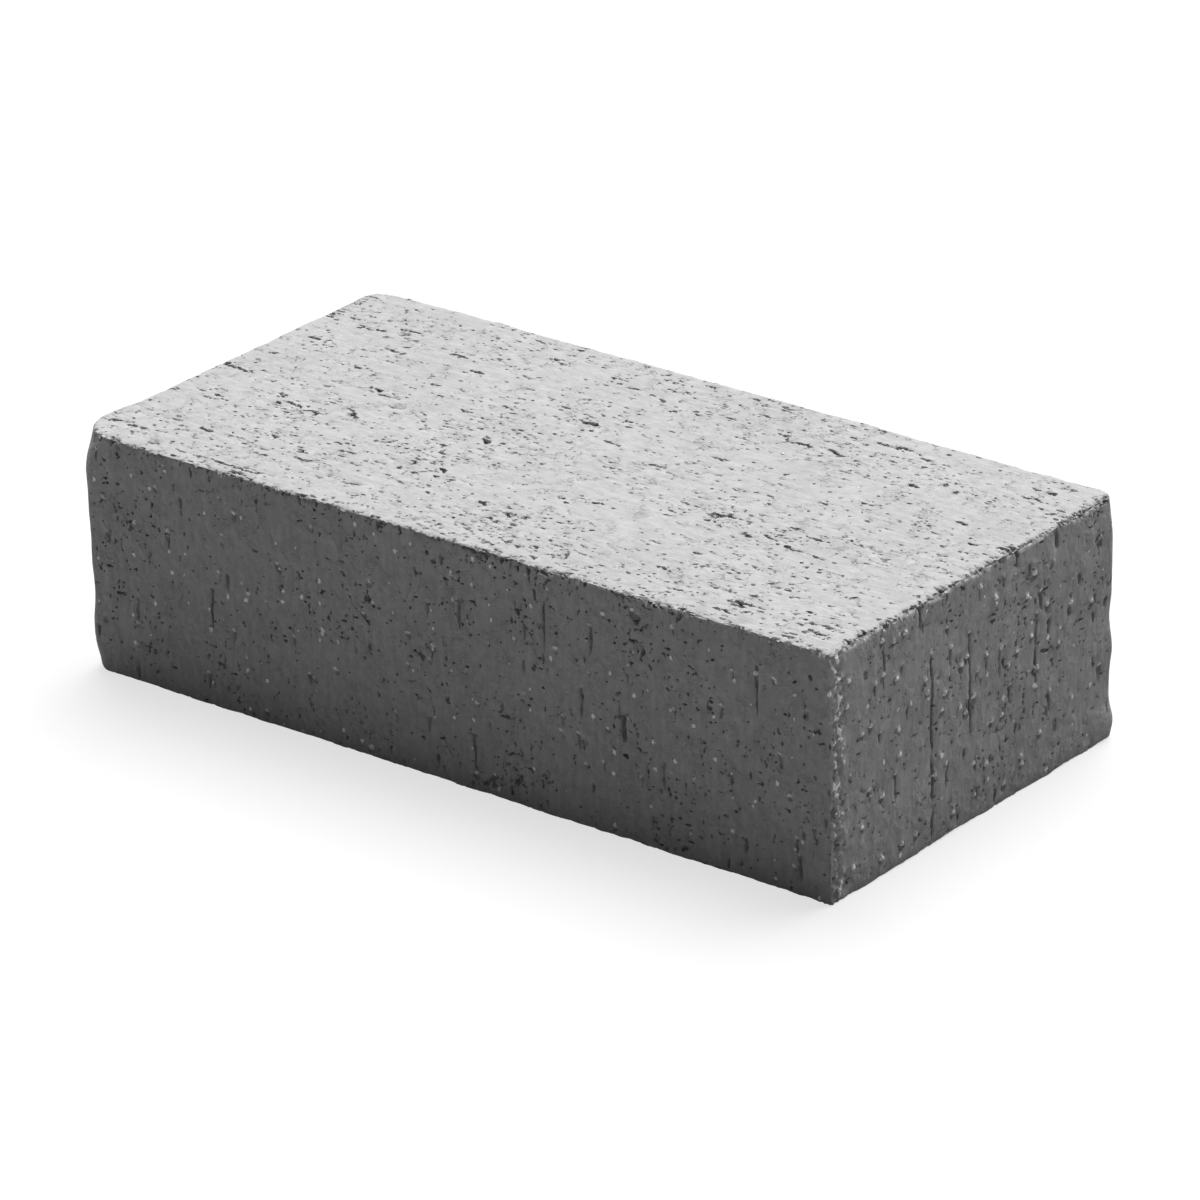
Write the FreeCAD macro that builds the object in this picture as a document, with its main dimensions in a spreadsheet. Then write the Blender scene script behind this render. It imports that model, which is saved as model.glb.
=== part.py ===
"""Refractory firebrick: one solid of fired fireclay.

A column of stiff clay is pushed through a rectangular die, and a wire cuts it into slabs that are
dried and fired.  The die shapes the four upright faces and rounds the upright corners, each a little
differently.  The wire leaves the two large bed faces, whose edges are only slightly blunted.

Frame: millimetres, origin at the middle of the lower bed face, X along the length, Y across the
width, Z up.
"""

import FreeCAD
import Part
import Sketcher

import math
import os

# Driving dimensions, in millimetres.
DIMENSIONS = {
    "brick_length": 230.0,
    "brick_width": 115.0,
    "brick_height": 64.0,
    "front_left_radius": 3.5,
    "front_right_radius": 1.5,
    "back_right_radius": 3.0,
    "back_left_radius": 5.0,
    "bed_edge_radius": 0.8,
}
# The die's corners in the order that its outline runs, each with the way it lies from the middle.
CORNERS = [
    ("front_left_radius", -1, -1),
    ("front_right_radius", 1, -1),
    ("back_right_radius", 1, 1),
    ("back_left_radius", -1, 1),
]
# A sketch's origin, written as a geometry and a point of it.
SKETCH_ORIGIN = (-1, 1)
# The numbers by which a sketch knows the two ends of a line or an arc.
START_POINT, END_POINT = range(1, 3)
SAME_HEIGHT = 1e-6
CUBIC_MM_PER_CUBIC_CM = 1000
OUTPUT_FOLDER = "parts"


def make_sheet(doc):
    """Spreadsheet with one named cell for each driving dimension."""
    sheet = doc.addObject("Spreadsheet::Sheet", "Dimensions")
    for row, (name, value) in enumerate(DIMENSIONS.items(), start=1):
        sheet.set(f"A{row}", name)
        sheet.set(f"B{row}", str(value))
        sheet.setAlias(f"B{row}", name)
    doc.recompute()
    return sheet


def as_length(formula):
    """Expression, in millimetres, for a formula that starts with the name of a cell."""
    return f"Dimensions.{formula} * 1 mm"


def bind(sketch, constraint, formula):
    """Adds a constraint whose value follows a formula of the sheet's cells."""
    index = sketch.addConstraint(constraint)
    sketch.setExpression(f"Constraints[{index}]", as_length(formula))


def origin_plane(body, role):
    """The body's own origin plane with that role, such as XY_Plane."""
    return next(item for item in body.Origin.OriginFeatures if item.Role == role)


def add_corner_arcs(sketch, sheet):
    """A quarter circle at each corner of the die, inside the sides that it joins."""
    quarter_turn = math.pi / 2
    up = FreeCAD.Vector(0, 0, 1)
    arcs = []
    for index, (name, side_x, side_y) in enumerate(CORNERS):
        radius = sheet.getPropertyByName(name)
        centre_x = side_x * (sheet.brick_length / 2 - radius)
        centre_y = side_y * (sheet.brick_width / 2 - radius)
        circle = Part.Circle(FreeCAD.Vector(centre_x, centre_y, 0), up, radius)
        start = math.pi + index * quarter_turn
        arcs.append(sketch.addGeometry(Part.ArcOfCircle(circle, start, start + quarter_turn)))
        bind(sketch, Sketcher.Constraint("Radius", arcs[-1], radius), name)
    return arcs


def add_sides(sketch, arcs):
    """Straight sides, each from the end of one corner to the start of the next and tangent to both."""
    sides = []
    for arc, next_arc in zip(arcs, arcs[1:] + arcs[:1]):
        line = Part.LineSegment(sketch.getPoint(arc, END_POINT), sketch.getPoint(next_arc, START_POINT))
        side = sketch.addGeometry(line)
        sketch.addConstraint(Sketcher.Constraint("Tangent", arc, END_POINT, side, START_POINT))
        sketch.addConstraint(Sketcher.Constraint("Tangent", side, END_POINT, next_arc, START_POINT))
        sides.append(side)
    return sides


def add_outline(body, sheet):
    """Sketch of the die's opening: a rectangle about the origin, each corner an arc of its own radius."""
    sketch = body.newObject("Sketcher::SketchObject", "die_outline")
    sketch.AttachmentSupport = [(origin_plane(body, "XY_Plane"), "")]
    sketch.MapMode = "FlatFace"

    front, right, back, left = add_sides(sketch, add_corner_arcs(sketch, sheet))
    for side in (front, back):
        sketch.addConstraint(Sketcher.Constraint("Horizontal", side))
    for side in (right, left):
        sketch.addConstraint(Sketcher.Constraint("Vertical", side))

    # Each side stands half of the brick's size away from the origin.
    placed = [
        ("DistanceY", (front, START_POINT), SKETCH_ORIGIN, "brick_width"),
        ("DistanceX", SKETCH_ORIGIN, (right, START_POINT), "brick_length"),
        ("DistanceY", SKETCH_ORIGIN, (back, START_POINT), "brick_width"),
        ("DistanceX", (left, START_POINT), SKETCH_ORIGIN, "brick_length"),
    ]
    for kind, low_point, high_point, name in placed:
        half = sheet.getPropertyByName(name) / 2
        bind(sketch, Sketcher.Constraint(kind, *low_point, *high_point, half), f"{name} / 2")
    return sketch


def bed_edges(shape, height):
    """Names of the edges that run round the lower and the upper bed face."""
    names = []
    for number, edge in enumerate(shape.Edges, start=1):
        heights = [vertex.Z for vertex in edge.Vertexes]
        for bed in (0, height):
            if all(abs(z - bed) < SAME_HEIGHT for z in heights):
                names.append(f"Edge{number}")
    return names


def make_brick(doc, sheet):
    """The clay column cut to the brick's height, with its bed edges blunted all round."""
    body = doc.addObject("PartDesign::Body", "firebrick")
    body.Label = "firebrick"

    column = body.newObject("PartDesign::Pad", "cut_column")
    column.Profile = add_outline(body, sheet)
    column.setExpression("Length", as_length("brick_height"))
    doc.recompute()

    blunted = body.newObject("PartDesign::Fillet", "blunted_bed_edges")
    blunted.Base = (column, bed_edges(column.Shape, sheet.brick_height))
    blunted.setExpression("Radius", as_length("bed_edge_radius"))
    body.Tip = blunted
    doc.recompute()
    return body


def check_document(doc, pieces):
    """Stops the build if an object failed or a piece is not one valid solid."""
    for item in doc.Objects:
        if "Invalid" in item.State or "Error" in item.State:
            raise RuntimeError(f"{item.Name} failed: {item.State}")
    for piece in pieces:
        if piece.Shape.isNull() or not piece.Shape.isValid() or len(piece.Shape.Solids) != 1:
            raise RuntimeError(f"{piece.Label} is not one valid solid")


def write_pieces(pieces):
    """Writes each piece to a STEP file named after its label, and prints its size."""
    os.makedirs(OUTPUT_FOLDER, exist_ok=True)
    for piece in pieces:
        piece.Shape.exportStep(os.path.join(OUTPUT_FOLDER, f"{piece.Label}.step"))
        box = piece.Shape.optimalBoundingBox(True, False)
        size = f"{box.XLength:.2f} x {box.YLength:.2f} x {box.ZLength:.2f} mm"
        print(f"{piece.Label}: {size}, {piece.Shape.Volume / CUBIC_MM_PER_CUBIC_CM:.1f} cm3")


document = FreeCAD.newDocument("firebrick")
brick = make_brick(document, make_sheet(document))
check_document(document, [brick])
write_pieces([brick])
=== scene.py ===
"""Looks of a refractory firebrick: its torn beds and dragged sides, on a plain floor in soft light.

Metres, in the part's own frame: X along the length, Y across the width, Z up, origin at the middle of
the lower bed face.
"""

import math

import bpy
import numpy as np
from mathutils import Matrix, Vector


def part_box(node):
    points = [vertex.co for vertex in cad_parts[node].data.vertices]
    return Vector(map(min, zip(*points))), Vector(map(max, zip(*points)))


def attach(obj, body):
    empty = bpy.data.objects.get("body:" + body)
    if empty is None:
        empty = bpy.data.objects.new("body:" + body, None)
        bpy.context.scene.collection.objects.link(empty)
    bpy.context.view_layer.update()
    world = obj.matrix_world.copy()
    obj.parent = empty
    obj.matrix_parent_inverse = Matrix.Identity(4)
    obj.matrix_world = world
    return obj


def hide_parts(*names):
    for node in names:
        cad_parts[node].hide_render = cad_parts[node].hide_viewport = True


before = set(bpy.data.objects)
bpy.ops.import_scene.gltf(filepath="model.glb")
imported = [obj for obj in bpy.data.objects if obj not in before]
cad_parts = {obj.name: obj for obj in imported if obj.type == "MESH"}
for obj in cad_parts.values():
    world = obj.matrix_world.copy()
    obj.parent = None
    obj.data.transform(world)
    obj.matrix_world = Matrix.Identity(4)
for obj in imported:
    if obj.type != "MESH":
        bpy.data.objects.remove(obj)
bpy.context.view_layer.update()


# Firebrick: one block of fired fireclay, pushed through a die as a stiff column and cut by a wire.
# The die drags hard grains down the four sides, and the wire tears the two beds along their length.
# It lies loose on its lower bed, with nothing fixed to it.  Sizes in this section are millimetres.
MM = 0.001
LOW, HIGH = (np.array(corner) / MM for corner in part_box("firebrick"))
LENGTH, WIDTH, HEIGHT = HIGH - LOW
# Spacing of the dense grid, and the triangles that are kept, most of them where the relief is sharp.
GRID = 0.38
TRIANGLES_KEPT = 196_000
CELLS = np.rint((HIGH - LOW) / GRID).astype(int)
AROUND = 2 * (CELLS[0] + CELLS[1])
# Cells along the front, right, back and left side.
SIDE_CELLS = CELLS[[0, 1, 0, 1]]
# Seeds of the random fields.
RAGGED_SEED = 11
BITE_SEED = 12
SIDE_SEED = 21
LOWER_BED_SEED = 31
UPPER_BED_SEED = 41
# Plan radius of the upright corners at mid-height, and what wear adds to it towards the beds.
# Rows are left and right, columns are front and back; wear is given for the lower and the upper bed.
CORNER_RADIUS = np.array([[3.5, 5.0], [0.3, 2.8]])
CORNER_WEAR = np.array([[[3.2, 6.4], [1.0, 2.0]], [[0.3, 0.3], [0.2, 1.2]]])
WEAR_REACH = 6.0
# Radius of the lower and the upper bed's edge along the front, right, back and left side, how unevenly
# it varies, and the least that it may be.
EDGE_RADIUS = np.array([[0.8, 0.25], [0.8, 1.5], [0.8, 0.8], [0.8, 0.6]])
RAGGEDNESS = 0.3
SHARPEST_EDGE = 0.15
# Depth of the bites out of those edges, their reach, the share of an edge that they take, and how far
# their field falls from a bite's rim to its full depth.
EDGE_BITE = np.array([[0.1, 1.5], [0.1, 1.2], [0.1, 0.1], [0.1, 0.1]])
BITE_REACH = 1.0
BITE_SHARE = 0.45
BITE_WALL = 1.8
# How much more the clay tears along the upper edges, within what reach, and the share of that on the
# lower bed.
EDGE_TEARING = np.array([1.0, 1.5, 0.1, 0.2])
EDGE_REACH = 1.6
LOWER_TEARING = 0.2
# A tear that meets an edge is this deep there, and may deepen by this much for each millimetre from it.
TEAR_AT_EDGE = 0.3
TEAR_SLOPE = 0.8
# Crumbs along the upright corners, from the front left one round to the back left one, how far past
# a corner they are thickest, their reach, their height, and how pale they are.
CORNER_CRUMBS = np.array([0.1, 0.8, 0.1, 0.1])
CRUMBS_PAST = 2.5
CRUMBS_REACH = 3.0
CRUMB_HEIGHT = 0.4
CRUMB_PALENESS = 0.45
# Grains fade out this near to an upright corner.
GRAINS_REACH = 4.0
# Lumps and dents that show on the outline: the corner, counted round from the front left one, the way
# past it, the height, the reach round and up, the amount.
LUMPS = [
    (0, -13.0, 60.0, 10.0, 14.0, 1.4),
    (0, 0.0, 20.0, 8.0, 7.0, -0.8),
    (2, 0.0, 4.6, 8.0, 3.5, 1.0),
    (2, 0.0, 24.0, 8.0, 4.0, 0.5),
    (2, 0.0, 33.0, 8.0, 4.0, -0.4),
]
# Drag lines to be seen: the place along the side, the upper and lower end, the half width, the depth.
FRONT_LINES = [
    (-73.5, 32.0, 20.0, 0.28, 0.6),
    (31.0, 56.0, 38.0, 0.28, 0.6),
    (9.0, 15.5, 3.0, 0.28, 0.6),
    (-82.5, 54.0, 48.0, 0.28, 0.6),
]
END_LINES = [
    (-18.0, 50.0, 1.5, 0.33, 0.9),
    (-2.5, 49.5, 22.0, 0.28, 0.8),
    (24.2, 45.0, 24.0, 0.31, 0.8),
    (-37.0, 63.0, 47.0, 0.28, 0.4),
    (-38.7, 37.5, 31.0, 0.28, 0.5),
    (-32.5, 24.5, 17.0, 0.31, 0.6),
    (-40.5, 50.5, 46.5, 0.36, 0.8),
    (-22.3, 63.8, 57.0, 0.33, 1.0),
    (33.0, 63.9, 57.5, 0.50, 1.0),
    (17.0, 63.8, 57.5, 0.33, 1.0),
    (-12.7, 63.8, 59.5, 0.33, 1.0),
    (-1.2, 32.5, 27.5, 0.44, 0.9),
    (26.3, 50.0, 44.5, 0.36, 0.8),
    (3.8, 41.5, 37.0, 0.33, 0.6),
    (13.5, 30.0, 24.5, 0.31, 0.6),
    (-12.6, 19.5, 12.5, 0.44, 0.9),
    (50.5, 21.5, 16.0, 0.38, 0.8),
    (-38.2, 20.6, 19.0, 0.38, 0.8),
    (-3.8, 43.8, 42.5, 0.42, 0.8),
    (13.2, 35.3, 34.0, 0.40, 0.6),
    (-10.0, 48.5, 43.0, 0.33, 0.5),
    (8.0, 52.8, 51.5, 0.36, 0.6),
    (-7.0, 32.0, 29.0, 0.40, 0.8),
    (-4.5, 29.5, 28.0, 0.37, 0.8),
    (-31.5, 35.5, 32.0, 0.42, 0.8),
]
# Open pits to be seen on the end, given in the same way.
END_PITS = [
    (38.0, 41.5, 38.5, 0.6, 1.6),
    (38.5, 45.0, 42.5, 0.4, 1.4),
    (29.5, 41.5, 37.0, 0.5, 1.4),
    (48.0, 36.5, 33.5, 0.4, 1.4),
    (48.5, 41.0, 38.0, 0.4, 1.4),
    (51.0, 54.5, 52.0, 0.5, 1.6),
    (32.5, 14.0, 10.0, 0.5, 1.4),
    (53.0, 38.5, 35.5, 0.4, 1.4),
    (42.0, 49.0, 45.0, 0.4, 1.2),
    (31.5, 30.5, 27.5, 0.4, 1.2),
]
# Bright grains to be seen on the end: the place along it and the height.
END_GRAINS = [
    (-51.0, 48.5), (-45.6, 15.8), (-45.5, 39.5), (-42.5, 24.2), (-42.2, 40.3), (-38.5, 5.0),
    (-37.5, 51.5), (-37.5, 60.3), (-33.5, 58.8), (-32.5, 49.0), (-30.5, 5.5), (-29.0, 59.2),
    (-21.0, 44.2), (-20.2, 40.8), (-12.5, 37.8), (-9.2, 5.3), (4.0, 13.0), (6.2, 23.2),
    (10.6, 23.0), (11.5, 4.7), (16.5, 37.7), (18.3, 9.4), (20.5, 50.5), (22.0, 39.5),
    (23.5, 26.0), (23.5, 55.3), (24.5, 30.5), (26.0, 12.7), (33.5, 33.5), (38.0, 42.5), (47.0, 39.7),
]
# The roughest part of the end: the place along it, the height, the reach along and up, the amount.
END_ROUGH = (27.0, 38.0, 22.0, 20.0, 0.45)
# Number of short drag lines at random places on the four sides.
SHORT_LINES = 380
# Reach of a furrow, and sizes of a grain and its pit, all in half widths of the furrow.
FURROW_REACH = 5
GRAIN_ACROSS = 1.8
GRAIN_UP = 1.7
PIT_ACROSS = 2.0
PIT_UP = 2.6
PIT_BELOW = 1.6
# Length over which a furrow's lower end fades, and the depth from which a furrow counts as torn, so that
# it is cut deeper and gets the painted shade of the hollows.
FURROW_TAIL = 3
FURROW_SEEN = 0.05
# Tears to be seen on the upper bed: the two ends, each along and across, the half width, the depth.
BED_MARKS = [
    (-103.0, 35.0, -97.5, 35.2, 0.34, 0.5),
    (-97.0, 36.3, -94.5, 36.2, 0.42, 0.6),
    (-92.0, 39.5, -86.0, 40.5, 0.26, 0.4),
    (-88.0, 27.8, -81.0, 27.0, 0.38, 0.5),
    (-108.0, 22.6, -104.5, 22.5, 0.34, 0.5),
    (-102.5, 22.0, -101.2, 19.8, 0.26, 0.4),
    (-71.0, 34.0, -66.0, 34.2, 0.34, 0.6),
    (-60.0, 28.5, -56.5, 28.5, 0.42, 0.6),
    (-62.5, 16.0, -60.0, 16.3, 0.42, 0.6),
    (-73.5, 5.6, -69.5, 4.6, 0.49, 0.9),
    (-68.5, 2.7, -62.0, 3.2, 0.34, 0.5),
    (-46.5, 7.1, -42.5, 6.9, 0.32, 0.7),
    (-47.5, 46.3, -42.5, 44.8, 0.30, 0.5),
    (-115.0, -2.8, -106.5, -4.5, 0.42, 0.5),
    (-102.5, -20.6, -100.5, -20.5, 0.42, 0.7),
    (-107.0, -47.5, -101.0, -47.4, 0.34, 0.6),
    (-112.5, -47.8, -109.0, -46.5, 0.49, 0.7),
    (-91.0, -38.5, -87.5, -39.6, 0.56, 0.8),
    (-73.8, -32.5, -71.3, -33.2, 0.49, 0.9),
    (-66.0, -10.5, -63.5, -12.2, 0.49, 0.9),
    (-61.5, -39.8, -53.0, -39.7, 0.34, 0.5),
    (-62.3, -35.0, -59.0, -36.5, 0.30, 0.6),
    (-87.0, -52.7, -60.5, -52.8, 0.30, 0.5),
    (-86.0, -13.7, -79.0, -15.2, 0.30, 0.5),
    (-76.5, -15.7, -71.5, -15.5, 0.34, 0.5),
    (-16.0, 18.4, -12.0, 18.5, 0.63, 0.9),
    (-4.5, 11.8, 0.5, 11.8, 0.34, 0.6),
    (13.5, 7.0, 17.5, 7.1, 0.34, 0.5),
    (22.0, 19.7, 27.0, 19.6, 0.34, 0.5),
    (31.0, 37.9, 39.0, 38.1, 0.38, 0.5),
    (-6.0, 54.2, -3.2, 54.0, 0.42, 0.6),
    (-29.3, -4.2, -27.1, -5.4, 0.49, 0.9),
    (-26.0, -24.5, -24.0, -26.0, 0.56, 0.8),
    (-33.0, -16.5, -31.5, -16.8, 0.42, 0.8),
    (-6.3, -34.8, -3.5, -35.0, 0.42, 0.7),
    (17.0, -19.2, 19.0, -19.2, 0.42, 0.6),
    (25.0, -45.0, 28.5, -45.0, 0.30, 0.6),
    (28.5, -45.0, 31.5, -49.0, 0.26, 0.3),
    (44.0, -8.2, 48.5, -7.2, 0.42, 0.6),
    (55.5, 50.6, 59.5, 50.2, 0.45, 0.8),
    (50.5, 49.5, 57.5, 49.3, 0.34, 0.5),
    (43.5, 38.9, 48.0, 38.2, 0.34, 0.5),
    (72.0, 33.2, 74.5, 32.8, 0.42, 0.7),
    (69.0, 18.0, 73.5, 18.2, 0.34, 0.5),
    (94.0, 22.0, 97.0, 22.0, 0.34, 0.5),
    (97.0, 49.0, 104.0, 47.8, 0.30, 0.5),
    (96.0, 43.3, 105.0, 43.2, 0.26, 0.4),
    (102.5, 53.0, 106.0, 53.2, 0.34, 0.5),
    (104.0, 13.2, 106.0, 13.2, 0.42, 0.6),
    (110.5, 15.3, 114.0, 15.2, 0.42, 0.6),
    (79.5, -45.6, 86.0, -45.4, 0.42, 0.7),
    (79.7, -47.3, 82.3, -47.0, 0.49, 0.8),
    (97.0, -44.8, 110.0, -45.2, 0.21, 0.35),
    (77.5, -51.2, 85.0, -51.8, 0.21, 0.35),
    (70.0, -13.2, 72.5, -13.3, 0.42, 0.7),
    (72.0, -13.6, 82.0, -14.3, 0.26, 0.4),
    (70.5, -6.0, 76.0, -6.1, 0.34, 0.5),
    (102.5, -48.3, 108.0, -49.2, 0.30, 0.5),
    (111.0, -12.4, 115.0, -12.2, 0.42, 0.7),
    (53.0, -40.7, 56.5, -40.8, 0.42, 0.5),
]
# Depth of a full tear in a bed and in a side, and how proud a dragged grain stands.
BED_TEAR = 1.4
SIDE_TEAR = 1.6
GRAIN_HEIGHT = 1.2
# Share of a bed and of a side that tears, how far the field falls from a tear's rim to its full depth,
# and how strongly the tears crowd together.
BED_TEAR_SHARE = 0.066
BED_TEAR_WALL = 2.3
SIDE_TEAR_SHARE = 0.045
SIDE_TEAR_WALL = 1.8
CROWDING = 0.25
# Height of the gentle swell of a bed and a side, and of a side's finer ripple.
BED_SWELL = 0.1
SIDE_SWELL = 0.2
SIDE_RIPPLE = 0.08
# How far the lines of tears and of drag marks wander, and how unevenly a tear deepens on its way.
TEAR_WANDER = 0.3
DRAG_WANDER = 0.15
TEAR_BREAKING = 0.3
# A point shows the bed's tears once its outward direction has turned this far to the bed. A bite
# deeper than this gets the tears' painted shade, for the shade in the crevice under the edge, by this
# much for each millimetre.
BED_FROM = 0.2
BITE_SHADE_FROM = 0.8
BITE_SHADE = 0.4
SHARP_ANGLE = 40


def linear(colour):
    """Linear red, green, blue and alpha of an sRGB hex colour."""
    srgb = np.array([int(colour[place:place + 2], 16) for place in (1, 3, 5)]) / 255
    rgb = np.where(srgb <= 0.04045, srgb / 12.92, ((srgb + 0.055) / 1.055) ** 2.4)
    return (*rgb.tolist(), 1.0)


def add(tree, kind, inputs, **settings):
    """Adds a node with its settings; an input gets a constant or a link from another node."""
    node = tree.nodes.new(kind)
    for name, value in settings.items():
        setattr(node, name, value)
    for name, value in inputs.items():
        if isinstance(value, bpy.types.NodeSocket):
            tree.links.new(value, node.inputs[name])
        else:
            node.inputs[name].default_value = value
    return node


def maths(tree, operation, *values):
    """Result of one step of arithmetic on constants or on outputs of other nodes."""
    return add(tree, "ShaderNodeMath", dict(enumerate(values)), operation=operation).outputs[0]


def ramp(tree, value, start, end, low=0.0, high=1.0):
    """Value that goes from low to high as another goes from start to end, and stays there beyond."""
    inputs = {"Value": value, "From Min": start, "From Max": end, "To Min": low, "To Max": high}
    return add(tree, "ShaderNodeMapRange", inputs).outputs["Result"]


def blend(tree, share, first, second):
    """Colour that goes from the first to the second as a share goes from 0 to 1."""
    inputs = {0: share, 6: first, 7: second}
    return add(tree, "ShaderNodeMix", inputs, data_type="RGBA").outputs[2]


def box_lattice(cells):
    """Closed box of unit cells: its whole-number points, its quads and the side, 0 to 5, of each quad.

    Each side is a grid of points.  A point's number in the full lattice welds the grids along their
    edges.
    """
    shape = cells + 1
    sides = []
    for axis in range(3):
        row, column = (axis + 1) % 3, (axis + 2) % 3
        for level in (0, cells[axis]):
            point = [None] * 3
            point[row], point[column] = np.indices((shape[row], shape[column]))
            point[axis] = np.full_like(point[row], level)
            number = np.ravel_multi_index(point, shape)
            corners = [number[:-1, :-1], number[1:, :-1], number[1:, 1:], number[:-1, 1:]]
            turn = 1 if level else -1
            sides.append(np.stack(corners[::turn], axis=-1).reshape(-1, 4))
    numbers, quads = np.unique(np.concatenate(sides), return_inverse=True)
    points = np.stack(np.unravel_index(numbers, shape), axis=-1)
    return points, quads.reshape(-1, 4), np.repeat(np.arange(6), [len(side) for side in sides])


def clay_noise(seed, shape, lengths, fall=1.0):
    """Random field of spread 1 that wraps round its grid, with lumps of the given two lengths.

    White noise whose waves are weakened by (1 + (lump / wave)^2)^-fall, both measured in millimetres.
    """
    white = np.random.default_rng(seed).standard_normal(shape)
    rows = np.fft.fftfreq(shape[0], GRID)[:, None] * lengths[0]
    columns = np.fft.rfftfreq(shape[1], GRID)[None, :] * lengths[1]
    weakened = np.fft.rfft2(white) * (1 + (math.tau * np.hypot(rows, columns)) ** 2) ** -fall
    field = np.fft.irfft2(weakened, s=shape)
    return (field - field.mean()) / field.std()


def tear_depth(field, share, wall):
    """Depth of tears, from 0 to 1 in a tear and below 0 on the skin.

    The lowest share of a field tears.  The depth is how far the field lies below that share's limit,
    divided by the wall.
    """
    return np.clip((np.quantile(field, share) - field) / wall, -1, 1)


def wire_tears(marks, shape, seed):
    """Depth of the listed tears over a bed.

    A mark is a parabola across its line: its own depth on the line, 0 at its half width and below 0
    farther off.  All lines wander a little, and their depth varies on the way.
    """
    across, deep = (np.indices(shape) * GRID).astype(float)
    wander = [TEAR_WANDER * clay_noise(seed + way, shape, (0.7, 0.5)) for way in (0, 1)]
    points = np.stack([across - LENGTH / 2 + wander[0], deep - WIDTH / 2 + wander[1]], axis=-1)
    broken = TEAR_BREAKING * clay_noise(seed + 2, shape, (0.5, 0.2), 0.8)
    torn = np.full(shape, -1.0)
    for *ends, width, depth in marks:
        start, end = np.reshape(ends, (2, 2))
        run = end - start
        gone = np.clip((points - start) @ run / (run @ run), 0, 1)
        apart = np.linalg.norm(points - start - gone[..., None] * run, axis=-1)
        torn = np.maximum(torn, depth * (1 - (apart / width) ** 2) + broken)
    return np.minimum(torn, 1)


def bed_sheet(seed, edge_tearing, marks):
    """Relief of a wire-cut bed over its length and width, and the depth of its tears.

    The tears are drawn out along the wire's path, crowd together and thicken towards the edges.
    """
    shape = tuple(CELLS[:2] + 1)
    across, deep = np.indices(shape)
    to_side = np.stack([deep, CELLS[0] - across, CELLS[1] - deep, across], axis=-1) * GRID
    at_edge = (edge_tearing * np.exp(-(to_side / EDGE_REACH) ** 2)).max(axis=-1)
    crowd = clay_noise(seed, shape, (6, 4))
    field = clay_noise(seed + 1, shape, (0.7, 0.24), 0.7) + CROWDING * crowd - at_edge
    torn = tear_depth(field, BED_TEAR_SHARE, BED_TEAR_WALL)
    torn = np.maximum(torn, wire_tears(marks, shape, seed + 3))
    swell = clay_noise(seed + 2, shape, (22, 22), 1.5)
    return BED_SWELL * swell - BED_TEAR * np.maximum(torn, 0), torn


def drag_marks(marks, along, up, wander):
    """Furrows and the hard grains that ploughed them, over the way round and the height.

    A furrow is a bell across its width, faded at both ends, whose middle wanders a little on its way.
    A grain is a bell about twice as wide, at the upper end of its furrow, and it lies in a pit that runs
    on below it.
    """
    furrows = np.zeros((len(along), len(up)))
    grains = np.zeros_like(furrows)
    for place, top, bottom, width, depth, grain in marks:
        near = np.flatnonzero(np.abs(along - place) < FURROW_REACH * width)
        across = (along[near, None] - place - wander[near[0]]) / width
        length = np.clip(np.minimum(top - up, (up - bottom) / FURROW_TAIL), 0, 1)
        furrows[near] = np.maximum(furrows[near], depth * np.exp(-across ** 2) * length)
        upward = (up - top) / width
        pit_up = (upward + PIT_BELOW) / PIT_UP
        pit = grain * depth * np.exp(-(across / PIT_ACROSS) ** 2 - pit_up ** 2)
        furrows[near] = np.maximum(furrows[near], pit)
        bell = np.exp(-(across / GRAIN_ACROSS) ** 2 - (upward / GRAIN_UP) ** 2)
        grains[near] = np.maximum(grains[near], grain * bell)
    return furrows, grains


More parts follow.
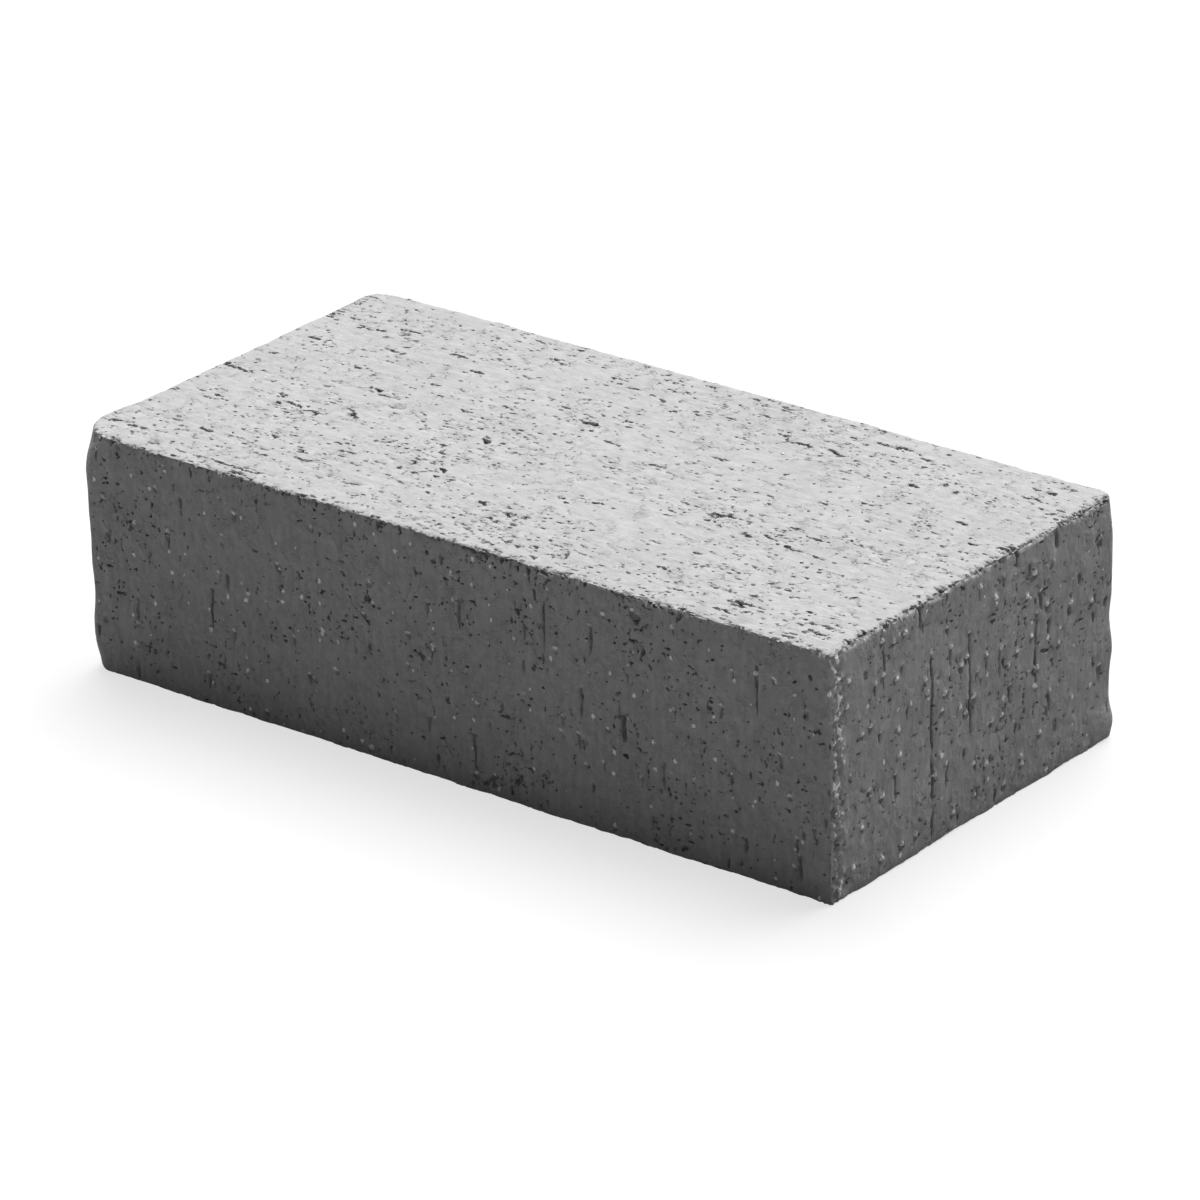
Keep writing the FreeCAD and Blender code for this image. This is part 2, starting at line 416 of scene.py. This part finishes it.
def side_sheet(seed):
    """Relief of the four sides over the way round and the height, the depth of tears, and the grains.

    Tears open along the drag and across it, where either of two fields is lowest.  Furrows, grains,
    crumbs at the upright corners, and lumps are added to a gentle swell.
    """
    shape = (AROUND, CELLS[2] + 1)
    along = np.arange(AROUND) * GRID
    up = np.linspace(0, HEIGHT, shape[1])
    tearing = np.repeat(EDGE_TEARING, SIDE_CELLS)[:, None]
    at_edge = tearing * np.exp(-((HEIGHT - up) / EDGE_REACH) ** 2)
    crowd = clay_noise(seed, shape, (4, 5))
    dragged_open = clay_noise(seed + 1, shape, (0.22, 0.65), 0.85)
    cracked_across = clay_noise(seed + 8, shape, (0.55, 0.22), 0.85)
    field = np.minimum(dragged_open, cracked_across)
    place, height, wide, tall, amount = END_ROUGH
    from_middle = (along[:, None] - LENGTH - WIDTH / 2 - place) / wide
    rough = amount * np.exp(-from_middle ** 2 - ((up - height) / tall) ** 2)
    field = field + CROWDING * crowd - at_edge - rough
    torn = tear_depth(field, SIDE_TEAR_SHARE, SIDE_TEAR_WALL)
    swell = clay_noise(seed + 2, shape, (14, 10), 1.5)

    # Short lines: the way round, the upper and lower end, the half width, the depth, the grain's size.
    random = np.random.default_rng(seed + 3)
    tops = random.uniform(2, HEIGHT - 1, SHORT_LINES)
    dragged = np.stack([
        random.uniform(3, along[-1] - 3, SHORT_LINES),
        tops,
        tops - random.gamma(1.5, 1.6, SHORT_LINES) - 1,
        random.uniform(0.28, 0.45, SHORT_LINES),
        random.uniform(0.2, 0.8, SHORT_LINES),
        random.uniform(0.0, 1.0, SHORT_LINES),
    ], axis=-1)
    # The listed lines, in the same form.  A listed pit has no grain, and a listed grain a short furrow.
    end_middle = LENGTH + WIDTH / 2
    lines = [(LENGTH / 2 + place, *rest, 0.5) for place, *rest in FRONT_LINES]
    lines += [(end_middle + place, *rest, 0.8) for place, *rest in END_LINES]
    lines += [(end_middle + place, *rest, 0.0) for place, *rest in END_PITS]
    lines += [(end_middle + place, top, top - 1.5, 0.38, 0.6, 1) for place, top in END_GRAINS]
    wander = DRAG_WANDER * clay_noise(seed + 4, shape, (3, 3))
    furrows, grains = drag_marks([*dragged, *lines], along, up, wander)
    # Furrows are broken up: their depth varies on the way.
    furrows *= np.clip(0.75 + 0.5 * clay_noise(seed + 5, shape, (0.2, 1.2)), 0.1, 1.3)
    torn = np.maximum(torn, np.where(furrows > FURROW_SEEN, furrows, -1))

    corners = np.array([0, LENGTH, LENGTH + WIDTH, 2 * LENGTH + WIDTH])
    round_trip = 2 * (LENGTH + WIDTH)
    to_corner = (along[:, None] - corners + round_trip / 2) % round_trip - round_trip / 2
    crumbling = CORNER_CRUMBS * np.exp(-((to_corner - CRUMBS_PAST) / CRUMBS_REACH) ** 2)
    grains *= 1 - np.exp(-(np.abs(to_corner).min(axis=1)[:, None] / GRAINS_REACH) ** 2)
    ripple = clay_noise(seed + 6, shape, (3, 3), 1.5)
    relief = SIDE_SWELL * swell + SIDE_RIPPLE * ripple + GRAIN_HEIGHT * grains
    crumbs = crumbling.max(axis=1)[:, None] * clay_noise(seed + 7, shape, (0.45, 0.55))
    relief += CRUMB_HEIGHT * crumbs
    for corner, past, height, wide, tall, amount in LUMPS:
        from_lump = (to_corner[:, [corner]] - past) / wide
        relief += amount * np.exp(-from_lump ** 2 - ((up - height) / tall) ** 2)
    return relief - SIDE_TEAR * np.maximum(torn, 0), torn, np.maximum(grains, CRUMB_PALENESS * crumbs)


def squeeze(first, second):
    """Factor that takes a point of a square corner to the circle: its longer leg over its diagonal."""
    diagonal = np.hypot(first, second)
    longer = np.maximum(first, second)
    return np.divide(longer, diagonal, out=np.ones_like(diagonal), where=diagonal > 0)


def brick_form(lattice, ring, edge_radius):
    """Blunted brick through lattice points: places, outward directions, and the room to side and bed.

    In plan, a point past the start of a corner moves along its ray from the corner's centre, from the
    square to the circle.  The same step across the edge of the bed then blunts that edge.
    """
    points = LOW + lattice / CELLS * (HIGH - LOW)
    turned = np.where(points > (LOW + HIGH) / 2, 1, -1)
    room = np.minimum(points[:, 2] - LOW[2], HIGH[2] - points[:, 2])
    corner = tuple((turned[:, :2] > 0).astype(int).T)
    upper = (turned[:, 2] > 0).astype(int)
    radius = CORNER_RADIUS[corner] + CORNER_WEAR[*corner, upper] * np.exp(-(room / WEAR_REACH) ** 2)

    to_sides = HIGH[:2] - np.abs(points[:, :2])
    inset = to_sides.min(axis=1)
    past = np.maximum(radius[:, None] - to_sides, 0)
    points[:, :2] -= turned[:, :2] * past * (1 - squeeze(*past.T))[:, None]
    span = np.hypot(*past.T)[:, None]
    straight = np.eye(2)[to_sides.argmin(axis=1)]
    outward = turned[:, :2] * np.divide(past, span, out=straight, where=span > 0)

    edge = edge_radius[ring, upper]
    side_past = np.maximum(edge - inset, 0)
    bed_past = np.maximum(edge - room, 0)
    cut = 1 - squeeze(side_past, bed_past)
    points[:, :2] -= outward * (side_past * cut)[:, None]
    points[:, 2] -= turned[:, 2] * bed_past * cut
    normals = np.column_stack([outward * side_past[:, None], turned[:, 2] * bed_past])
    normals /= np.linalg.norm(normals, axis=1, keepdims=True)
    return points, normals, inset, room


lattice, quads, sides = box_lattice(CELLS)
across, deep, up = lattice.T
# The way round starts at the front left corner and runs along the front, right, back and left side.
nearest = np.argmin([deep, CELLS[0] - across, CELLS[1] - deep, across], axis=0)
ways = [across, CELLS[0] + deep, 2 * CELLS[0] + CELLS[1] - across, AROUND - deep]
ring = np.choose(nearest, ways) % AROUND
ragged = clay_noise(RAGGED_SEED, (AROUND, 2), (2.0, 0))
bite_field = clay_noise(BITE_SEED, (AROUND, 2), (0.3, 0), 0.8)
bites = np.maximum(tear_depth(bite_field, BITE_SHARE, BITE_WALL), 0)
edge_radius = np.repeat(EDGE_RADIUS, SIDE_CELLS, axis=0) * (1 + RAGGEDNESS * ragged)
points, normals, inset, room = brick_form(lattice, ring, np.maximum(edge_radius, SHARPEST_EDGE))

side_relief, side_torn, grains = (sheet[ring, up] for sheet in side_sheet(SIDE_SEED))
in_upper_half = up > CELLS[2] / 2
upper_bed = bed_sheet(UPPER_BED_SEED, EDGE_TEARING, BED_MARKS)
lower_bed = bed_sheet(LOWER_BED_SEED, EDGE_TEARING * LOWER_TEARING, [])
bed_relief, bed_torn = (
    np.where(in_upper_half, on_upper[across, deep], on_lower[across, deep])
    for on_upper, on_lower in zip(upper_bed, lower_bed)
)
side_relief = np.maximum(side_relief, -TEAR_AT_EDGE - TEAR_SLOPE * room)
bed_relief = np.maximum(bed_relief, -TEAR_AT_EDGE - TEAR_SLOPE * inset)
bed_share = normals[:, 2] ** 2
at_the_edge = (np.repeat(EDGE_BITE, SIDE_CELLS, axis=0) * bites)[ring, in_upper_half.astype(int)]
bite = at_the_edge * np.exp(-((inset + room) / BITE_REACH) ** 2)
points += normals * (side_relief + (bed_relief - side_relief) * bed_share - bite)[:, None]
# The brick rests on its lower bed, so no lump of it reaches lower.
points[:, 2] = np.maximum(points[:, 2], LOW[2])

dense_mesh = bpy.data.meshes.new("dense_brick")
dense_mesh.from_pydata((points * MM).tolist(), [], quads.tolist())
torn_skin = np.where(bed_share > BED_FROM, bed_torn, side_torn)
# Deep bites out of an edge are real cuts in the mesh; they also get the tears' painted shade, which
# stands for the shade in the crevice under the edge.
bite_shade = np.where(bite > BITE_SHADE_FROM, BITE_SHADE * bite, -1)
# The way round is kept as an angle from the back left corner, by its cosine and sine, which have no
# jump.
angle = math.tau * (ring - 2 * CELLS[0] - CELLS[1]) / AROUND
point_values = {
    "torn": np.maximum(torn_skin, bite_shade),
    "grain": grains * (1 - bed_share),
    "bed": bed_share,
    "turn_cos": np.cos(angle),
    "turn_sin": np.sin(angle),
}
for name, values in point_values.items():
    attribute = dense_mesh.attributes.new(name, "FLOAT", "POINT")
    attribute.data.foreach_set("value", values.astype(np.float32))
dense_mesh.attributes.new("side", "INT", "FACE").data.foreach_set("value", sides.astype(np.int32))
dense_brick = bpy.data.objects.new("dense_brick", dense_mesh)
bpy.context.scene.collection.objects.link(dense_brick)
thinned = dense_brick.modifiers.new("thinned", "DECIMATE")
thinned.ratio = TRIANGLES_KEPT / (2 * len(quads))
depsgraph = bpy.context.evaluated_depsgraph_get()
mesh = bpy.data.meshes.new_from_object(dense_brick.evaluated_get(depsgraph))
bpy.data.objects.remove(dense_brick)
bpy.data.meshes.remove(dense_mesh)
mesh.shade_smooth()
mesh.set_sharp_from_angle(angle=math.radians(SHARP_ANGLE))
brick = bpy.data.objects.new("brick", mesh)
bpy.context.scene.collection.objects.link(brick)

# Flat maps of the six sides on one square sheet: for each side its two axes and its place on the sheet.
MAP_GAP = 2.0
MAP_SIZE = LENGTH + 2 * HEIGHT + 4 * MAP_GAP
column_2 = LENGTH + 2 * MAP_GAP
column_3 = column_2 + HEIGHT + MAP_GAP
row_2 = WIDTH + 2 * MAP_GAP
row_3 = row_2 + WIDTH + MAP_GAP
side_maps = np.array([
    (2, 1, column_3, MAP_GAP),
    (2, 1, column_3, row_2),
    (0, 2, MAP_GAP, row_3),
    (2, 0, column_2, MAP_GAP),
    (0, 1, MAP_GAP, row_2),
    (0, 1, MAP_GAP, MAP_GAP),
])
places = np.zeros((len(mesh.vertices), 3), dtype=np.float32)
mesh.vertices.foreach_get("co", places.ravel())
corner_points = np.zeros(len(mesh.loops), dtype=np.int32)
mesh.loops.foreach_get("vertex_index", corner_points)
face_sides = np.zeros(len(mesh.polygons), dtype=np.int32)
mesh.attributes["side"].data.foreach_get("value", face_sides)
face_sizes = np.zeros(len(mesh.polygons), dtype=np.int32)
mesh.polygons.foreach_get("loop_total", face_sizes)
side_map = side_maps[np.repeat(face_sides, face_sizes)]
from_low = (places / MM - LOW)[corner_points]
flat = np.take_along_axis(from_low, side_map[:, :2].astype(int), axis=1) + side_map[:, 2:]
flat_map = (flat / MAP_SIZE).astype(np.float32)
mesh.uv_layers.new(name="OFBake").data.foreach_set("uv", flat_map.ravel())

# The sides unrolled: the way round at each corner of each face, on the same lap as the face's first
# corner.
turns = np.zeros((2, len(mesh.vertices)), dtype=np.float32)
mesh.attributes["turn_cos"].data.foreach_get("value", turns[0])
mesh.attributes["turn_sin"].data.foreach_get("value", turns[1])
lap = (np.arctan2(turns[1], turns[0]) / math.tau)[corner_points] % 1
first = np.repeat(lap[np.cumsum(face_sizes) - face_sizes], face_sizes)
lap = first + (lap - first + 0.5) % 1 - 0.5
way = (lap * AROUND * GRID * MM).astype(np.float32)
mesh.attributes.new("round_way", "FLOAT", "CORNER").data.foreach_set("value", way)

# Fired fireclay: a dry, matt, sandy grey skin, streaked the way the wire or the die went over it,
# with painted shade in the hollows where it is torn open, and pale, hard, glassy grains.
CLAY = "#B6B6B6"
CLAY_DARK = "#AAAAAA"
# Colours of the painted shade inside the torn hollows, on the beds and on the sides; the tears are real
# cuts in the mesh, and this darkening stands in for the shade inside them.
BED_HOLLOW_SHADE = "#404040"
SIDE_HOLLOW_SHADE = "#8C8C8C"
GRAIN = "#F6F6F6"
CLAY_ROUGHNESS = 0.9
GRAIN_ROUGHNESS = 0.35
CLAY_SPECULAR = 0.5
GRAIN_SPECULAR = 1.0
BUMP_STRENGTH = 0.8
BUMP_HEIGHT = 0.25
GRAIN_BUMP = 2.8
fireclay = bpy.data.materials.new("fired_fireclay_wire_cut")
fireclay.use_nodes = True
tree = fireclay.node_tree
tree.nodes.clear()
tear, grain, bed, round_way = (
    add(tree, "ShaderNodeAttribute", {}, attribute_name=name).outputs["Fac"]
    for name in ("torn", "grain", "bed", "round_way")
)
on_bed = maths(tree, "GREATER_THAN", bed, 0.5)
place = add(tree, "ShaderNodeTexCoord", {}).outputs["Object"]
z = add(tree, "ShaderNodeSeparateXYZ", {"Vector": place}).outputs["Z"]
unrolled = add(tree, "ShaderNodeCombineXYZ", {"X": round_way, "Y": z}).outputs["Vector"]


def counted(bed_lump, side_lump):
    """Place counted in lumps of the given two sizes: along and across a bed, or round and up a side."""
    ways = []
    for source, lump in ((unrolled, side_lump), (place, bed_lump)):
        scale = (1 / (lump[0] * MM), 1 / (lump[1] * MM), 1)
        mapped = add(tree, "ShaderNodeMapping", {"Vector": source, "Scale": scale})
        ways.append(mapped.outputs["Vector"])
    inputs = {0: on_bed, 4: ways[0], 5: ways[1]}
    return add(tree, "ShaderNodeMix", inputs, data_type="VECTOR").outputs[1]


def flat_noise(bed_lump, side_lump, detail, roughness):
    """Noise over a bed or a side, from 0 to 1, with lumps of the given two sizes."""
    inputs = {
        "Vector": counted(bed_lump, side_lump),
        "Scale": 1.0,
        "Detail": detail,
        "Roughness": roughness,
    }
    return add(tree, "ShaderNodeTexNoise", inputs, noise_dimensions="2D").outputs["Fac"]


cloud = flat_noise((30, 30), (25, 25), 3.0, 0.5)
streak = flat_noise((14, 0.8), (1.6, 11), 2.0, 0.5)
skin = flat_noise((4, 2), (2.2, 2.8), 4.0, 0.7)
patch = flat_noise((20, 9), (7, 9), 2.0, 0.5)
grit = flat_noise((1.8, 0.55), (0.6, 0.9), 3.0, 0.7)
# Specks: dots of random size about scattered points, many of them too small to see; fewer on the beds.
scatter = add(tree, "ShaderNodeTexVoronoi", {
    "Vector": counted((9, 4.5), (6, 7)),
    "Scale": 1.0,
}, voronoi_dimensions="2D").outputs
lot = add(tree, "ShaderNodeSeparateColor", {"Color": scatter["Color"]}).outputs["Red"]
speck_size = ramp(tree, lot, 0.4, 1.0, 0.0, 0.11)
speck_size = maths(tree, "MULTIPLY_ADD", on_bed, -0.06, speck_size)
speck_size = maths(tree, "MULTIPLY_ADD", grit, 0.2, speck_size)
inside = maths(tree, "SUBTRACT", speck_size, scatter["Distance"])
speck = ramp(tree, inside, 0.1, 0.12)
# Dragged grains, with an outline that the grit breaks up.
uneven = maths(tree, "MULTIPLY_ADD", grit, 1.2, 0.4)
dragged_grain = ramp(tree, maths(tree, "MULTIPLY", grain, uneven), 0.28, 0.36)
proud = maths(tree, "MAXIMUM", speck, dragged_grain)
# Tears: a mask of where the relief is torn, along an edge that the grit makes jagged. It carries the
# painted shade of the hollows, deeper in deeper tears, and a dip in the bump.
jagged = ramp(tree, on_bed, 0.0, 1.0, 1.4, 2.0)
bias = maths(tree, "SUBTRACT", grit, 0.5)
rim = maths(tree, "MULTIPLY_ADD", bias, jagged, tear)
mark = ramp(tree, rim, -0.04, 0.25)
deepest = ramp(tree, on_bed, 0.0, 1.0, -2.2, -1.0)
dip = ramp(tree, rim, -0.14, 0.2, 0.0, deepest)
depth = ramp(tree, tear, 0.0, 0.5, 0.5, 1.0)
painted_shade = maths(tree, "MULTIPLY", mark, depth)
# Colour: clouded clay, varied by three patterns, then painted shade in the hollows, pale dust round the
# grains, and grains.
tone = blend(tree, cloud, linear(CLAY_DARK), linear(CLAY))
for pattern, spread in ((skin, 0.11), (streak, 0.06), (grit, 0.04)):
    factor = ramp(tree, pattern, 0.3, 0.7, 1 - spread, 1 + spread)
    varied = add(tree, "ShaderNodeVectorMath", {0: tone, 1: factor}, operation="MULTIPLY")
    tone = varied.outputs["Vector"]
hollow_shade = blend(tree, on_bed, linear(SIDE_HOLLOW_SHADE), linear(BED_HOLLOW_SHADE))
# Painted shade: the torn hollows are darkened towards the hollow colours.
shaded_tone = blend(tree, painted_shade, tone, hollow_shade)
dust = ramp(tree, grain, 0.0, 0.5, 0.0, 0.35)
dusty = blend(tree, dust, shaded_tone, linear(GRAIN))
specked = blend(tree, proud, dusty, linear(GRAIN))
# Fine relief: the skin is rougher in patches, grains stand proud and tears dip.
roughest = ramp(tree, on_bed, 0.0, 1.0, 4.4, 0.7)
unevenness = ramp(tree, patch, 0.42, 0.62, 0.9, roughest)
height = maths(tree, "MULTIPLY_ADD", proud, GRAIN_BUMP, dip)
height = maths(tree, "MULTIPLY_ADD", skin, unevenness, height)
bump = add(tree, "ShaderNodeBump", {
    "Height": height,
    "Strength": BUMP_STRENGTH,
    "Distance": BUMP_HEIGHT * MM,
})
shader = add(tree, "ShaderNodeBsdfPrincipled", {
    "Base Color": specked,
    "Roughness": ramp(tree, proud, 0.0, 1.0, CLAY_ROUGHNESS, GRAIN_ROUGHNESS),
    "Specular IOR Level": ramp(tree, proud, 0.0, 1.0, CLAY_SPECULAR, GRAIN_SPECULAR),
    "Normal": bump.outputs["Normal"],
})
add(tree, "ShaderNodeOutputMaterial", {"Surface": shader.outputs["BSDF"]})
mesh.materials.clear()
mesh.materials.append(fireclay)
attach(brick, "root")
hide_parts("firebrick")


# Floor: a plain pale studio table, wide enough to be all that the camera sees behind the brick.
# It looks white and keeps a soft shadow, but it lights the brick no more than a grey table would.
FLOOR_HALF = 3.0
FLOOR_SEEN = "#F2F2F2"
FLOOR_LIGHTING = "#8E8E8E"
# Share of plain white in what the camera sees of the floor, which keeps the shadow faint.
VEIL = 0.7
floor_mesh = bpy.data.meshes.new("floor")
floor_corners = [(x * FLOOR_HALF, y * FLOOR_HALF, 0) for x, y in ((-1, -1), (1, -1), (1, 1), (-1, 1))]
floor_mesh.from_pydata(floor_corners, [], [(0, 1, 2, 3)])
floor = bpy.data.objects.new("floor", floor_mesh)
bpy.context.scene.collection.objects.link(floor)


def seen_by_camera(tree):
    """1 for a ray from the camera, or by way of a reflection or glass, and 0 for other light."""
    ray = add(tree, "ShaderNodeLightPath", {}).outputs
    seen = maths(tree, "MAXIMUM", ray["Is Camera Ray"], ray["Is Glossy Ray"])
    return maths(tree, "MAXIMUM", seen, ray["Is Transmission Ray"])


table = bpy.data.materials.new("matt_white_table")
table.use_nodes = True
tree = table.node_tree
tree.nodes.clear()
seen = seen_by_camera(tree)
paint = blend(tree, seen, linear(FLOOR_LIGHTING), linear(FLOOR_SEEN))
diffuse = add(tree, "ShaderNodeBsdfDiffuse", {"Color": paint})
white = add(tree, "ShaderNodeEmission", {"Color": (1, 1, 1, 1), "Strength": 1.0})
veiled = add(tree, "ShaderNodeMixShader", {
    0: maths(tree, "MULTIPLY", seen, VEIL),
    1: diffuse.outputs["BSDF"],
    2: white.outputs["Emission"],
})
add(tree, "ShaderNodeOutputMaterial", {"Surface": veiled.outputs["Shader"]})
floor_mesh.materials.append(table)


# Light: one broad soft source high behind the brick, such as a studio's overhead panel.
# The room round it is dim and even, but looks white behind the floor.
KEY_STRENGTH = 4.7
KEY_ANGLE = 50
KEY_FROM = (-0.11, 0.42, 0.9)
ROOM = 0.06
key_light = bpy.data.lights.new("key", "SUN")
key_light.energy = KEY_STRENGTH
key_light.angle = math.radians(KEY_ANGLE)
key = bpy.data.objects.new("key", key_light)
key.rotation_mode = "QUATERNION"
key.rotation_quaternion = Vector(KEY_FROM).to_track_quat("Z", "Y")
bpy.context.scene.collection.objects.link(key)
world = bpy.data.worlds.new("room")
bpy.context.scene.world = world
world.use_nodes = True
tree = world.node_tree
tree.nodes.clear()
glow = ramp(tree, seen_by_camera(tree), 0.0, 1.0, ROOM, 1.0)
sky = add(tree, "ShaderNodeBackground", {"Color": (1, 1, 1, 1), "Strength": glow})
add(tree, "ShaderNodeOutputWorld", {"Surface": sky.outputs["Background"]})


# Camera: a long lens, from the front and the right, a little above the brick.
# Its place, turn and focal length, in photo pixels, are those that fit the photo's edges.
AZIMUTH, ELEVATION, ROLL = (math.radians(angle) for angle in (38.78, 24.03, -1.33))
DISTANCE = 1.766
TARGET = np.array([0.00224, 0, 0.02761])
SENSOR = 36
IMAGE_WIDTH = 1200
FOCAL_LENGTH = 7225
back = np.array([
    math.sin(AZIMUTH) * math.cos(ELEVATION),
    -math.cos(AZIMUTH) * math.cos(ELEVATION),
    math.sin(ELEVATION),
])
level_right = np.array([math.cos(AZIMUTH), math.sin(AZIMUTH), 0])
level_up = np.cross(back, level_right)
right = level_right * math.cos(ROLL) + level_up * math.sin(ROLL)
above = level_up * math.cos(ROLL) - level_right * math.sin(ROLL)
camera_data = bpy.data.cameras.new("camera")
camera_data.sensor_width = SENSOR
camera_data.lens = SENSOR * FOCAL_LENGTH / IMAGE_WIDTH
camera = bpy.data.objects.new("camera", camera_data)
pose = np.eye(4)
pose[:3] = np.column_stack([right, above, back, TARGET + back * DISTANCE])
camera.matrix_world = Matrix(pose.tolist())
bpy.context.scene.collection.objects.link(camera)
bpy.context.scene.camera = camera
bpy.context.scene.view_settings.view_transform = "Standard"
